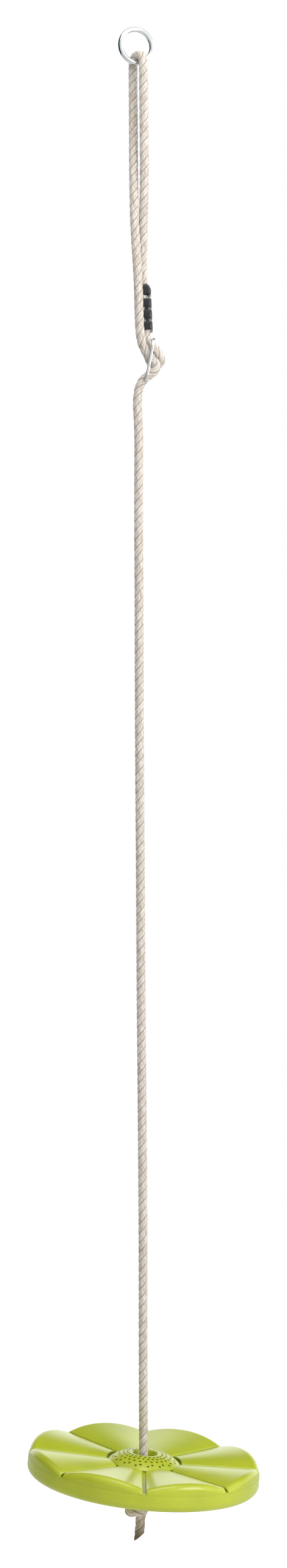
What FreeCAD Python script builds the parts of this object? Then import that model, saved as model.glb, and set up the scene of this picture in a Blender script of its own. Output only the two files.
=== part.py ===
"""Disc swing: a flower-shaped seat that hangs on one rope with a ring, a rope clamp and an adjuster.

Millimetres, +Z up. The origin is the point where a hook bears, inside the top of the hanging ring.
The rope runs from its end in the clamp through an eye in the adjuster plate, back up through the
clamp, over the ring and down, through the plate's other two holes and the seat, to a stopper knot.
"""
import FreeCAD, Part
import math
import os
from FreeCAD import Placement, Rotation, Vector

UP = Vector(0, 0, 1)
ORIGIN = Vector(0, 0, 0)

# ---- hanging ring ----
RING_WIRE = 6.0             # wire diameter
RING_INNER = 34.0           # clear inside diameter
RING_TURN = 20.0            # turn of the ring's plane about the vertical, degrees
WELD_LENGTH = 5.0           # butt weld, along the wire
WELD_PROUD = 0.4            # height of the weld over the wire
WELD_AT = -38.0             # place of the weld round the ring, degrees from its right-hand side

# ---- rope ----
ROPE = 11.0                 # diameter
BIGHT_GAP = 1.3             # gap between the rope and the ring's wire, across the wire's top
BIGHT_TURN = 40.0           # direction in which the rope crosses the ring, degrees from the front
BIGHT_ASIDE = 2.7           # the bight lies this far beside the lowest point of the ring
BIGHT_LEG = 22.0            # straight rope under the wire, on both sides

# ---- rope clamp ----
CLAMP_TOP = Vector(6.0, 6.4, -303.7)    # middle of the front channel at the neck's upper end
CLAMP_LEAN = 2.4            # lean in the XZ plane, degrees
CLAMP_AZIMUTH = 6.5         # direction from the front channel to the rear one, degrees from +Y
CLAMP_PITCH = 11.3          # distance between the two rope channels
CLAMP_WALL = 2.3            # plastic in front of the ropes and behind them
CLAMP_CHEEK = 3.1           # plastic beside the ropes
CLAMP_BEVEL = 1.6           # bevel on the collars' upright edges
CLAMP_EDGE = 0.8            # bevel on the collars' level edges
NECK_INSET = 1.5            # the neck's wall is thinner by this
NECK_RISE = 4.0             # the neck stands this far over the first collar
NECK_TAPER = 6.9            # height over which it narrows
COLLARS = 4
COLLAR_HEIGHT = 10.1
COLLAR_STEP = 13.9          # from one collar to the next
WEB_THICKNESS = 3.0         # bridges between the collars
WEB_WIDTH = 5.6
WEB_INSET = 1.7             # the bridges stand back from the collars' sides
CLAMP_LEAD = 10.0           # the rope runs straight this far beyond the clamp's ends

# ---- adjuster plate ----
PLATE_WIDTH = 24.0
PLATE_THICKNESS = 3.6
PLATE_HOLE = 14.0
PLATE_PITCH = 17.6          # distance between neighbouring holes
PLATE_END_WALL = 3.15       # steel left between an end hole and the plate's end
PLATE_LENGTH = 2.0 * (PLATE_PITCH + PLATE_HOLE / 2.0 + PLATE_END_WALL)
PLATE_EDGE = 0.9            # rounding of the plate's edges
PLATE_LEAN = 10.7           # degrees from the vertical
PLATE_SWIVEL = 3.0          # turn of the plate about its own length, degrees
PLATE_CENTRE = Vector(14.9, 0.0, -397.2)

# ---- seat ----
SEAT_RADIUS = 140.0
PETALS = 8
SEAM_HEIGHT = -1729.7       # height of the joint between the two shells, on the seat's axis
SEAT_LEAN = 5.6             # lean of the seat as it rests on the knot, degrees
SEAT_OFFSET = 2.9           # the seat's axis passes this far beside the knot's middle
SEAT_WALL = 3.0
RIM_WALL = 5.0              # thicker wall round the upper shell's rim
SEAM_LEDGE = 0.4            # the upper shell's rim stands this far inside the lower one's
PETAL_LAND = 0.2            # and the petals this far inside the upper shell's
SLOT_WIDTH = 3.3            # gap between two petals
SLOT_FLOOR = 2.2            # height of the gap's floor over the seam
RIDGE_BASE = 2.6            # a petal's ridge rises from this height on the seat's axis
RIDGE_SLOPE = 0.097
FLANK_BASE = 2.4            # and its edges beside the gaps from this one
FLANK_SLOPE = 0.034
RIM_FILLET = 7.4            # rounding of a petal's outer edge
SIDE_FILLET = 2.6           # rounding of a petal's edges beside the gaps
HUB_RADIUS = 43.4
HUB_HEIGHT = 14.8           # top of the hub over the seam
HUB_SHOULDER = 4.0          # height where the hub's dome starts
HUB_BELLY = 11.2            # height of the dome halfway to the hole
HUB_MOAT = 2.1              # gap between the hub and the petals
HOLE_TOP = 14.5             # radius of the rope hole at the hub's lip
HOLE = 10.5                 # radius of the rope hole at the underside
HOLE_LIP = 2.5              # rounding of the upper lip
HOLE_EDGE = 1.5             # rounding of the lower edge
BASE_STRAIGHT = 9.6         # straight side under the seam
BASE_FILLET = 8.7           # rounding of the lower edge
BASE_DEPTH = BASE_STRAIGHT + BASE_FILLET    # seam to underside
SPIGOT_DEPTH = 2.0          # the upper shell reaches this far into the lower one
SPIGOT_GAP = 0.3
RIB_THICKNESS = 2.5
RIB_RING_RADIUS = 84.0
RIB_RING_HEIGHT = 9.0

# ---- knot and tail ----
KNOT_RADIUS = 17.0          # rounded crown of the knot, on which the seat rests
KNOT_GAP = 0.3
TURN_RADIUS = 9.4           # the knot's lower turn, to the middle of the rope
TURN_TILT = 9.0
TURN_OFFSET = Vector(-8.2, 0.0, -21.1)  # from the knot's middle to that of the lower turn
TAIL = 12.0                 # the free end's strands have opened a little
TAIL_OFFSET = Vector(-4.6, 0.0, -21.3)  # from the knot's middle to the start of the tail
TAIL_DROP = Vector(-1.6, 0.0, -37.0)    # from there to the tail's tip
TAIL_CUT = 38.0             # slope of the tail's cut end, degrees from square

# ---- route of the rope: each point is a corner between two straight runs ----
LINE_X = 2.4                # where the rope hangs at the seat
EYE_POINTS = [
    Vector(11.4, 18.0, -379.0), Vector(13.0, 18.6, -390.0), Vector(18.0, 17.2, -398.8),
    Vector(25.0, 12.6, -400.6), Vector(29.2, 6.6, -395.2), Vector(26.0, 1.8, -387.4),
    Vector(18.8, 1.1, -379.9),
]
RIGHT_LEG_POINTS = [
    Vector(7.9, 2.6, -232.0), Vector(9.6, -2.6, -172.0), Vector(9.2, -5.4, -105.0),
]
LEFT_LEG_POINTS = [
    Vector(-3.6, 6.6, -105.0), Vector(-3.7, 2.6, -172.0), Vector(-2.6, -2.8, -236.0),
    Vector(1.6, -7.4, -300.0), Vector(2.2, -7.7, -344.0),
]
WEAVE_POINTS = [
    Vector(3.8, -6.7, -371.5), Vector(9.6, -3.0, -386.4), Vector(17.4, -1.4, -395.4),
    Vector(22.6, -1.2, -400.6), Vector(22.6, -1.0, -407.4), Vector(17.8, -0.6, -412.6),
    Vector(9.6, -0.2, -417.0), Vector(2.0, 0.0, -427.0), Vector(-0.6, 0.4, -447.0),
    Vector(1.7, 0.4, -480.0),
]
LINE_POINTS = [
    Vector(0.8, 0.2, -560.0), Vector(1.0, 0.0, -700.0), Vector(0.7, 0.0, -850.0),
    Vector(1.3, 0.0, -1000.0), Vector(1.5, 0.0, -1150.0), Vector(2.3, 0.0, -1300.0),
    Vector(2.9, 0.0, -1450.0), Vector(2.2, 0.0, -1600.0),
]


# ---- shared helpers ----
def save(name, shape):
    """Writes one named piece as a STEP file."""
    if shape.ShapeType == "Compound" and len(shape.Solids) == 1:
        shape = shape.Solids[0]
    shape.exportStep("parts/" + name + ".step")
    print("%-15s valid %s, %d solid, %.0f mm3" % (name, shape.isValid(), len(shape.Solids), shape.Volume))


def turned(profile):
    """Solid turned about Z from (radius, height) points; a list of two is a three-point arc."""
    edges = []
    here = None
    for item in profile:
        if isinstance(item, list):
            middle, end = [Vector(radius, 0, height) for radius, height in item]
            edges.append(Part.Arc(here, middle, end).toShape())
        else:
            end = Vector(item[0], 0, item[1])
            if here is not None:
                edges.append(Part.LineSegment(here, end).toShape())
        here = end
    edges.append(Part.LineSegment(here, Vector(profile[0][0], 0, profile[0][1])).toShape())
    return Part.Face(Part.Wire(edges)).revolve(ORIGIN, UP, 360)


def arc_point(centre, radius, degrees):
    """(radius, height) of a point on an arc in the turning plane."""
    angle = math.radians(degrees)
    return (centre[0] + radius * math.cos(angle), centre[1] + radius * math.sin(angle))


def plan_distance(edge):
    """Distance of an edge's middle from the Z axis."""
    return math.hypot(edge.CenterOfMass.x, edge.CenterOfMass.y)


def cord_path(points):
    """Straight runs joined by tangent arcs, each as large as 0.45 of its shorter run allows."""
    edges = []
    radii = []
    start = points[0]
    for before, corner, after in zip(points, points[1:], points[2:]):
        run_in = corner - before
        run_out = after - corner
        half = run_in.getAngle(run_out) / 2.0
        setback = 0.45 * min(run_in.Length, run_out.Length)
        radius = setback / math.tan(half)
        arc_start = corner - run_in.normalize() * setback
        arc_end = corner + run_out.normalize() * setback
        inwards = ((arc_start + arc_end) / 2.0 - corner).normalize()
        arc_middle = corner + inwards * (radius / math.cos(half) - radius)
        edges.append(Part.LineSegment(start, arc_start).toShape())
        edges.append(Part.Arc(arc_start, arc_middle, arc_end).toShape())
        radii.append(radius)
        start = arc_end
    edges.append(Part.LineSegment(start, points[-1]).toShape())
    return Part.Wire(edges), radii


def cord_tube(name, points):
    """Round rope along a route; prints its bend radii and how true its volume is."""
    path, radii = cord_path(points)
    section = Part.Wire(Part.makeCircle(ROPE / 2.0, points[0], points[1] - points[0]).Edges)
    tube = path.makePipeShell([section], True, False)
    ideal = math.pi * ROPE ** 2 / 4.0 * path.Length
    print("%s: %.0f mm long, volume %.4f of section times length" % (name, path.Length, tube.Volume / ideal))
    print("  bend radii", " ".join("%.0f" % radius for radius in radii))
    return tube


# ---- ring ----
def ring_reach():
    """Radius of the ring to the middle of its wire."""
    return (RING_INNER + RING_WIRE) / 2.0


def ring_centre():
    return Vector(0, 0, -RING_INNER / 2.0)


def bight_contact():
    """Middle of the wire where the rope lies over it."""
    turn = math.radians(RING_TURN)
    drop = math.sqrt(ring_reach() ** 2 - BIGHT_ASIDE ** 2)
    aside = Vector(math.cos(turn), math.sin(turn), 0) * BIGHT_ASIDE
    return ring_centre() + aside - Vector(0, 0, drop)


def bight_outwards():
    """Level direction from the wire towards the front leg."""
    turn = math.radians(BIGHT_TURN)
    return Vector(math.sin(turn), -math.cos(turn), 0)


def make_ring():
    """Wire ring with a butt weld that stands a little proud."""
    ring = Part.makeTorus(ring_reach(), RING_WIRE / 2.0)
    swept = math.degrees(WELD_LENGTH / ring_reach())
    circle = Part.makeCircle(RING_WIRE / 2.0 + WELD_PROUD, Vector(ring_reach(), 0, 0), Vector(0, 1, 0))
    bead = Part.Face(Part.Wire(circle.Edges)).revolve(ORIGIN, UP, swept)
    bead.rotate(ORIGIN, UP, WELD_AT - swept / 2.0)
    ring = ring.fuse(bead)
    ring.rotate(ORIGIN, Vector(1, 0, 0), 90)
    ring.rotate(ORIGIN, UP, RING_TURN)
    ring.translate(ring_centre())
    return ring


# ---- rope ----
def bight_points():
    """Corners of half an octagon round the wire, with a straight leg at each end."""
    reach = RING_WIRE / 2.0 + BIGHT_GAP + ROPE / 2.0
    corner = reach / math.cos(math.radians(22.5))
    contact = bight_contact()
    outwards = bight_outwards()
    leg = Vector(0, 0, -BIGHT_LEG)
    points = [contact + outwards * reach + leg]
    for step in range(4):
        angle = math.radians(22.5 + 45 * step)
        points.append(contact + outwards * (corner * math.cos(angle)) + UP * (corner * math.sin(angle)))
    points.append(contact - outwards * reach + leg)
    return points


def rope_points():
    """The whole route, from the rope's end in the clamp to the knot."""
    place = clamp_placement()
    below = -clamp_length() - CLAMP_LEAD
    rear = [place.multVec(Vector(0, CLAMP_PITCH, height)) for height in (-NECK_RISE - COLLAR_HEIGHT / 2.0, below)]
    front = [place.multVec(Vector(0, 0, height)) for height in (below, CLAMP_LEAD)]
    knot_end = knot_centre() + UP * (knot_flat() + KNOT_GAP)
    route = rear + EYE_POINTS + front + RIGHT_LEG_POINTS + bight_points()
    return route + LEFT_LEG_POINTS + WEAVE_POINTS + LINE_POINTS + [knot_end]


# ---- clamp ----
def clamp_placement():
    """The clamp's Z runs up the front channel and its Y points to the rear channel."""
    lean = Rotation(Vector(0, 1, 0), -CLAMP_LEAN)
    turn = Rotation(UP, -CLAMP_AZIMUTH)
    return Placement(CLAMP_TOP, lean.multiply(turn))


def clamp_length():
    """Height of the whole clamp, neck and collars."""
    return NECK_RISE + (COLLARS - 1) * COLLAR_STEP + COLLAR_HEIGHT


def clamp_section(height, inset=0.0, rear_inset=0.0):
    """Bevelled rectangle round both channels, at a height."""
    side = ROPE / 2.0 + CLAMP_CHEEK - inset
    front = inset - ROPE / 2.0 - CLAMP_WALL
    rear = CLAMP_PITCH - front - rear_inset
    bevel = CLAMP_BEVEL - inset / 2.0
    corners = [
        (-side + bevel, front), (side - bevel, front), (side, front + bevel), (side, rear - bevel),
        (side - bevel, rear), (-side + bevel, rear), (-side, rear - bevel), (-side, front + bevel),
    ]
    points = [Vector(x, y, height) for x, y in corners]
    return Part.makePolygon(points + points[:1])


def make_clamp(rope):
    """Collars moulded round two runs of the rope, with bridges between them."""
    foot = -NECK_RISE - COLLAR_HEIGHT
    body = Part.makeLoft([
        clamp_section(foot, CLAMP_EDGE),
        clamp_section(foot + CLAMP_EDGE),
        clamp_section(-NECK_TAPER),
        clamp_section(0.0, NECK_INSET, CLAMP_PITCH),
    ], True, True)
    for index in range(1, COLLARS):
        top = -NECK_RISE - index * COLLAR_STEP
        body = body.fuse(Part.makeLoft([
            clamp_section(top - COLLAR_HEIGHT, CLAMP_EDGE),
            clamp_section(top - COLLAR_HEIGHT + CLAMP_EDGE),
            clamp_section(top - CLAMP_EDGE),
            clamp_section(top, CLAMP_EDGE),
        ], True, True))
    length = (COLLARS - 1) * COLLAR_STEP
    outside = ROPE / 2.0 + CLAMP_CHEEK - WEB_INSET
    for left in (-outside, outside - WEB_THICKNESS):
        corner = Vector(left, (CLAMP_PITCH - WEB_WIDTH) / 2.0, COLLAR_HEIGHT / 2.0 - clamp_length())
        body = body.fuse(Part.makeBox(WEB_THICKNESS, WEB_WIDTH, length, corner))
    body.Placement = clamp_placement()
    return body.cut(rope)


# ---- adjuster plate ----
def make_plate():
    """Round-ended plate with three holes in line; its own Z is its length and X its thickness."""
    radius = PLATE_WIDTH / 2.0
    half = PLATE_LENGTH / 2.0 - radius
    back = -PLATE_THICKNESS / 2.0
    corners = [Vector(back, radius, half), Vector(back, -radius, half),
               Vector(back, -radius, -half), Vector(back, radius, -half)]
    outline = Part.Wire([
        Part.Arc(corners[0], Vector(back, 0, half + radius), corners[1]).toShape(),
        Part.LineSegment(corners[1], corners[2]).toShape(),
        Part.Arc(corners[2], Vector(back, 0, -half - radius), corners[3]).toShape(),
        Part.LineSegment(corners[3], corners[0]).toShape(),
    ])
    plate = Part.Face(outline).extrude(Vector(PLATE_THICKNESS, 0, 0))
    for step in (-1, 0, 1):
        centre = Vector(back, 0, step * PLATE_PITCH)
        plate = plate.cut(Part.makeCylinder(PLATE_HOLE / 2.0, PLATE_THICKNESS, centre, Vector(1, 0, 0)))
    rims = [edge for edge in plate.Edges if abs(edge.CenterOfMass.x) > PLATE_THICKNESS * 0.49]
    plate = plate.makeFillet(PLATE_EDGE, rims)
    lean = Rotation(Vector(0, 1, 0), PLATE_LEAN)
    plate.Placement = Placement(PLATE_CENTRE, lean.multiply(Rotation(UP, PLATE_SWIVEL)))
    return plate


# ---- seat, in its own frame: Z is the seat's axis and 0 the seam between the shells ----
def petal_section(distance, inset, floor):
    """Arched outline across a petal at a distance from the seat's axis, pulled in by a wall."""
    step = math.radians(180.0 / PETALS)
    half = distance * math.tan(step) - SLOT_WIDTH / 2.0 / math.cos(step) - inset
    ridge = RIDGE_BASE + RIDGE_SLOPE * distance - inset
    flank = FLANK_BASE + FLANK_SLOPE * distance / math.cos(step) - inset
    corners = [Vector(distance, -half, floor), Vector(distance, half, floor),
               Vector(distance, half, flank), Vector(distance, -half, flank)]
    return Part.Wire([
        Part.LineSegment(corners[0], corners[1]).toShape(),
        Part.LineSegment(corners[1], corners[2]).toShape(),
        Part.Arc(corners[2], Vector(distance, 0, ridge), corners[3]).toShape(),
        Part.LineSegment(corners[3], corners[0]).toShape(),
    ])


def petal_block(inner, outer, inset, floor):
    """Petal with sharp edges between two radii: a ruled cushion cut by two cylinders."""
    sections = [petal_section(distance, inset, floor) for distance in (inner * 0.85, outer * 1.05)]
    block = Part.makeLoft(sections, True, True)
    height = 2.0 * SEAT_RADIUS * RIDGE_SLOPE
    for radius in (outer, inner):
        cylinder = Part.makeCylinder(radius, 2 * height, Vector(0, 0, -height))
        cylinder.rotate(ORIGIN, UP, 180)
        block = block.common(cylinder) if radius == outer else block.cut(cylinder)
    return block


def rounded_petal():
    """One cushion-like petal, rounded along its rim, beside its gaps and at the hub."""
    inner = HUB_RADIUS + HUB_MOAT
    petal = petal_block(inner, SEAT_RADIUS - SEAM_LEDGE - PETAL_LAND, 0.0, 0.0)
    middle = (inner + SEAT_RADIUS) / 2.0
    rim = [e for e in petal.Edges if plan_distance(e) > middle and e.BoundBox.ZMin > SLOT_FLOOR]
    rim = [e for e in rim if e.BoundBox.YLength > middle]
    petal = petal.makeFillet(RIM_FILLET, rim)
    sides = [e for e in petal.Edges if e.BoundBox.XLength > middle / 2.0 and e.BoundBox.ZMin > SLOT_FLOOR]
    outer_corners = [e for e in petal.Edges if plan_distance(e) > middle * 1.2
                     and abs(e.CenterOfMass.y) > middle / 2.0 and e.BoundBox.ZLength > 1.0]
    return petal.makeFillet(SIDE_FILLET, sides + outer_corners)


def hole_radius(height):
    """Radius of the tapered rope hole in the upper shell."""
    low, high = -SPIGOT_DEPTH, HUB_HEIGHT - HOLE_LIP
    return HOLE + (HOLE_TOP - HOLE) * (height - low) / (high - low)


def make_hub():
    """Domed hub with the rope's tapered hole, hollow underneath."""
    lip = (HOLE_TOP + HOLE_LIP, HUB_HEIGHT - HOLE_LIP)
    halfway = (HUB_RADIUS + lip[0]) / 2.0
    hub = turned([
        (HOLE, -SPIGOT_DEPTH), (HOLE_TOP, lip[1]),
        [arc_point(lip, HOLE_LIP, 135), arc_point(lip, HOLE_LIP, 90)],
        [(halfway + 2.0, HUB_BELLY), (HUB_RADIUS, HUB_SHOULDER)],
        (HUB_RADIUS, -SPIGOT_DEPTH),
    ])
    top = HUB_BELLY - SEAT_WALL
    hollow = turned([
        (hole_radius(-SPIGOT_DEPTH) + SEAT_WALL, -SPIGOT_DEPTH), (hole_radius(top) + SEAT_WALL, top),
        (halfway, top), (HUB_RADIUS - SEAT_WALL, HUB_SHOULDER - SEAT_WALL),
        (HUB_RADIUS - SEAT_WALL, -SPIGOT_DEPTH),
    ])
    return hub.cut(hollow)


def make_seat_top():
    """Upper shell: eight rounded petals and the hub on one moulded skin."""
    inner = HUB_RADIUS + HUB_MOAT
    spigot = SEAT_RADIUS - SEAT_WALL - SPIGOT_GAP
    rim = SEAT_RADIUS - SEAM_LEDGE
    shell = turned([
        (HUB_RADIUS - SEAT_WALL, -SPIGOT_DEPTH), (spigot, -SPIGOT_DEPTH), (spigot, 0.0),
        (rim, 0.0), (rim, SLOT_FLOOR), (HUB_RADIUS - SEAT_WALL, SLOT_FLOOR),
    ])
    petal = rounded_petal()
    pocket = petal_block(inner + SEAT_WALL, SEAT_RADIUS - RIM_WALL, SEAT_WALL, -SPIGOT_DEPTH - 1.0)
    petals = []
    pockets = []
    for index in range(PETALS):
        angle = 360.0 / PETALS * (index + 0.5)
        petals.append(petal.copy().rotate(ORIGIN, UP, angle))
        pockets.append(pocket.copy().rotate(ORIGIN, UP, angle))
    shell = shell.fuse(petals + [make_hub()])
    return shell.cut(Part.makeCompound(pockets))


def make_seat_base():
    """Lower shell: a round pan with a boss for the rope and ribs under the gaps."""
    outer = SEAT_RADIUS
    inside = SEAT_RADIUS - SEAT_WALL
    floor = -BASE_DEPTH + SEAT_WALL
    corner = (outer - BASE_FILLET, -BASE_STRAIGHT)
    edge = (HOLE + HOLE_EDGE, -BASE_DEPTH + HOLE_EDGE)
    boss = HOLE + SEAT_WALL
    seam = (outer - SEAM_LEDGE, -SEAM_LEDGE)
    pan = turned([
        (HOLE, -SPIGOT_DEPTH), (HOLE, edge[1]),
        [arc_point(edge, HOLE_EDGE, 225), arc_point(edge, HOLE_EDGE, 270)],
        (corner[0], -BASE_DEPTH),
        [arc_point(corner, BASE_FILLET, -45), (outer, -BASE_STRAIGHT)],
        (outer, seam[1]), [arc_point(seam, SEAM_LEDGE, 45), (seam[0], 0.0)],
        (inside, 0.0), (inside, -BASE_STRAIGHT),
        [arc_point(corner, BASE_FILLET - SEAT_WALL, -45), (corner[0], floor)],
        (boss, floor), (boss, -SPIGOT_DEPTH),
    ])
    room = turned([
        (boss - SEAT_WALL / 2.0, -SPIGOT_DEPTH), (boss - SEAT_WALL / 2.0, floor), (corner[0], floor),
        [arc_point(corner, BASE_FILLET - SEAT_WALL, -45), (inside, -BASE_STRAIGHT)],
        (inside, -SPIGOT_DEPTH),
    ])
    ribs = []
    for index in range(PETALS):
        rib = Part.makeBox(outer, RIB_THICKNESS, BASE_DEPTH, Vector(0, -RIB_THICKNESS / 2.0, -BASE_DEPTH))
        rib.rotate(ORIGIN, UP, 360.0 / PETALS * index)
        ribs.append(rib.common(room))
    half = RIB_THICKNESS / 2.0
    ring = turned([
        (RIB_RING_RADIUS - half, floor), (RIB_RING_RADIUS + half, floor),
        (RIB_RING_RADIUS + half, floor + RIB_RING_HEIGHT), (RIB_RING_RADIUS - half, floor + RIB_RING_HEIGHT),
    ])
    return pan.fuse(ribs + [ring]).removeSplitter()


def seat_over_knot():
    """Height of the seat's underside over the knot's middle, where the hole's edge rests on the crown."""
    reach = KNOT_RADIUS + KNOT_GAP + HOLE_EDGE
    aside = HOLE + HOLE_EDGE - SEAT_OFFSET
    return math.sqrt(reach ** 2 - aside ** 2) - HOLE_EDGE


def seat_placement():
    lean = Rotation(Vector(0, 1, 0), SEAT_LEAN)
    seam = lean.multVec(Vector(-SEAT_OFFSET, 0, seat_over_knot() + BASE_DEPTH))
    return Placement(knot_centre() + seam, lean)


# ---- knot ----
def knot_centre():
    """Middle of the knot's crown, about which the seat tilts."""
    lean = Rotation(Vector(0, 1, 0), SEAT_LEAN)
    seam = lean.multVec(Vector(-SEAT_OFFSET, 0, seat_over_knot() + BASE_DEPTH))
    return Vector(LINE_X, 0, SEAM_HEIGHT - seam.z)


def knot_flat():
    """Height over the knot's middle where its crown is as wide as the rope."""
    return math.sqrt(KNOT_RADIUS ** 2 - (ROPE / 2.0) ** 2)


def make_knot():
    """Rounded crown with one turn of rope under it."""
    crown = Part.makeSphere(KNOT_RADIUS)
    above = Part.makeBox(4 * KNOT_RADIUS, 4 * KNOT_RADIUS, KNOT_RADIUS,
                         Vector(-2 * KNOT_RADIUS, -2 * KNOT_RADIUS, knot_flat()))
    crown = crown.cut(above)
    turn = Part.makeTorus(TURN_RADIUS, ROPE / 2.0)
    core = Part.makeCylinder(TURN_RADIUS, ROPE, Vector(0, 0, -ROPE / 2.0))
    turn = turn.fuse(core)
    turn.rotate(ORIGIN, Vector(0, 1, 0), -TURN_TILT)
    turn.translate(TURN_OFFSET)
    knot = crown.fuse(turn).removeSplitter()
    knot.translate(knot_centre())
    return knot


def make_tail(knot):
    """Short free end under the knot, cut off at a slant."""
    start = knot_centre() + TAIL_OFFSET
    tail = Part.makeCylinder(TAIL / 2.0, TAIL_DROP.Length, start, TAIL_DROP)
    reach = TAIL_DROP.Length
    cutter = Part.makeBox(2 * reach, 2 * reach, reach, Vector(-reach, -reach, -reach))
    cutter.rotate(ORIGIN, Vector(0, 1, 0), -TAIL_CUT)
    cutter.translate(start + TAIL_DROP - Vector(TAIL / 2.0, 0, 0))
    return tail.cut(cutter).cut(knot)


def main():
    os.makedirs("parts", exist_ok=True)
    rope = cord_tube("rope", rope_points())
    knot = make_knot()
    seat = seat_placement()
    seat_top = make_seat_top()
    seat_base = make_seat_base()
    seat_top.Placement = seat
    seat_base.Placement = seat
    save("hanging_ring", make_ring())
    save("rope", rope)
    save("rope_clamp", make_clamp(rope))
    save("adjuster_plate", make_plate())
    save("seat_top", seat_top)
    save("seat_base", seat_base)
    save("stopper_knot", knot)
    save("rope_tail", make_tail(knot))
    print("bight contact", bight_contact(), "outwards", bight_outwards())
    print("knot centre", knot_centre())


main()
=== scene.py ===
"""Disc swing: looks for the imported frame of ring, rope, clamp, adjuster plate and seat.

Lengths are written in millimetres and turned to metres where a mesh is made. The CAD nodes keep
their places. The stranded rope and knot, the collared clamp and the dimpled upper shell stand for
the plain solids.
"""
import logging
import math
from dataclasses import dataclass
from enum import Enum

import bmesh
import bpy
from mathutils import Euler, Matrix, Quaternion, Vector
from mathutils.bvhtree import BVHTree
from mathutils.geometry import barycentric_transform
from mathutils.kdtree import KDTree


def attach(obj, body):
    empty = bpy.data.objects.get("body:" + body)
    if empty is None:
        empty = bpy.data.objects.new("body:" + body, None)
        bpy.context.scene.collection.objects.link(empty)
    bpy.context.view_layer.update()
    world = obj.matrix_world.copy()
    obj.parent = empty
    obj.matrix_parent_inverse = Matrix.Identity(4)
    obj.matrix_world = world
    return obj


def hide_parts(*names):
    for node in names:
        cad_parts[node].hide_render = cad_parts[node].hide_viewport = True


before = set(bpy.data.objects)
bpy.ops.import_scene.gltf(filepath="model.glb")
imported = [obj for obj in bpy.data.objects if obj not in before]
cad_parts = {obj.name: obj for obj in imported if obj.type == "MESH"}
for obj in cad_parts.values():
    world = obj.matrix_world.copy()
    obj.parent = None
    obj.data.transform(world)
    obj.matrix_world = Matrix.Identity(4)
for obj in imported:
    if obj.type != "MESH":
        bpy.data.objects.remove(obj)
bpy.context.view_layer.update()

LOG = logging.getLogger("disc_swing")
MM = 0.001
GRAIN_DEPTH = 0.0002


class Body(Enum):
    """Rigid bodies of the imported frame."""

    RING = "ring"
    ROPE = "rope"
    KNOT = "knot"
    SEAT = "seat"


class Carving(Enum):
    """What a tool does to the body that it meets."""

    ADD = "UNION"
    TAKE = "DIFFERENCE"


# ---- shared helpers ----
def linear(colour: str) -> tuple[float, float, float, float]:
    """Turns an sRGB hex colour to linear values.

    Args:
        colour: Six hex digits after a hash sign.

    Returns:
        Red, green, blue and an alpha of one.
    """
    parts = [int(colour[start:start + 2], 16) / 255.0 for start in (1, 3, 5)]
    red, green, blue = [c / 12.92 if c <= 0.04045 else ((c + 0.055) / 1.055) ** 2.4 for c in parts]
    return (red, green, blue, 1.0)


def add_node(
    tree: bpy.types.NodeTree, kind: str, settings: dict | None = None, inputs: dict | None = None
) -> bpy.types.Node:
    """Adds a shader node with its settings, values and links.

    Args:
        tree: Node tree that gets the node.
        kind: Blender's name of the node's type.
        settings: Attributes of the node.
        inputs: Socket name or index to a value, or to an output socket that is linked to it.

    Returns:
        The new node.
    """
    node = tree.nodes.new(kind)
    for name, value in (settings or {}).items():
        setattr(node, name, value)
    for name, value in (inputs or {}).items():
        if isinstance(value, bpy.types.NodeSocket):
            tree.links.new(value, node.inputs[name])
        else:
            node.inputs[name].default_value = value
    return node


def ramp(
    tree: bpy.types.NodeTree, factor: bpy.types.NodeSocket, stops: list[tuple[float, str]]
) -> bpy.types.NodeSocket:
    """Maps a factor to colours.

    Args:
        tree: Node tree that gets the ramp.
        factor: Socket with the factor.
        stops: Place and sRGB hex colour of each stop, in rising order.

    Returns:
        The ramp's colour socket.
    """
    node = add_node(tree, "ShaderNodeValToRGB", inputs={"Fac": factor})
    elements = node.color_ramp.elements
    while len(elements) < len(stops):
        elements.new(0.5)
    for element, (place, colour) in zip(elements, stops):
        element.position = place
        element.color = linear(colour)
    return node.outputs["Color"]


def new_material(name: str) -> tuple[bpy.types.Material, bpy.types.NodeTree, bpy.types.Node]:
    """Starts a node material.

    Args:
        name: Name of the finish.

    Returns:
        The material, its tree and its Principled shader.
    """
    material = bpy.data.materials.new(name)
    material.use_nodes = True
    tree = material.node_tree
    shader = tree.nodes["Principled BSDF"]
    return material, tree, shader


def add_grain(
    tree: bpy.types.NodeTree, shader: bpy.types.Node, size_mm: float, detail: float, strength: float
) -> bpy.types.NodeSocket:
    """Gives a moulded or plated skin its fine grain.

    Args:
        tree: The material's tree.
        shader: Its Principled shader.
        size_mm: Width of a grain.
        detail: Finer levels within it.
        strength: How much it roughens the skin.

    Returns:
        The grain's factor socket.
    """
    place = add_node(tree, "ShaderNodeTexCoord").outputs["Object"]
    grain = add_node(tree, "ShaderNodeTexNoise", inputs={
        "Vector": place, "Scale": 1000.0 / size_mm, "Detail": detail}).outputs["Fac"]
    bump = add_node(tree, "ShaderNodeBump", inputs={
        "Height": grain, "Strength": strength, "Distance": GRAIN_DEPTH})
    tree.links.new(bump.outputs["Normal"], shader.inputs["Normal"])
    return grain


def deselect_all() -> None:
    """Leaves nothing selected."""
    for item in bpy.context.selected_objects:
        item.select_set(False)


def select_only(item: bpy.types.Object) -> None:
    """Leaves one object selected and active.

    Args:
        item: The object.
    """
    deselect_all()
    bpy.context.view_layer.objects.active = item
    item.select_set(True)


def carve(body: bpy.types.Object, tool: bpy.types.Object, carving: Carving) -> None:
    """Changes a body by a tool, which is used up.

    Args:
        body: Object that stays.
        tool: Object that is added to it or taken away.
        carving: Which of the two.
    """
    modifier = body.modifiers.new("carving", "BOOLEAN")
    modifier.operation = carving.value
    modifier.solver = "EXACT"
    modifier.object = tool
    select_only(body)
    bpy.ops.object.modifier_apply(modifier=modifier.name)
    bpy.data.objects.remove(tool)


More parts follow.
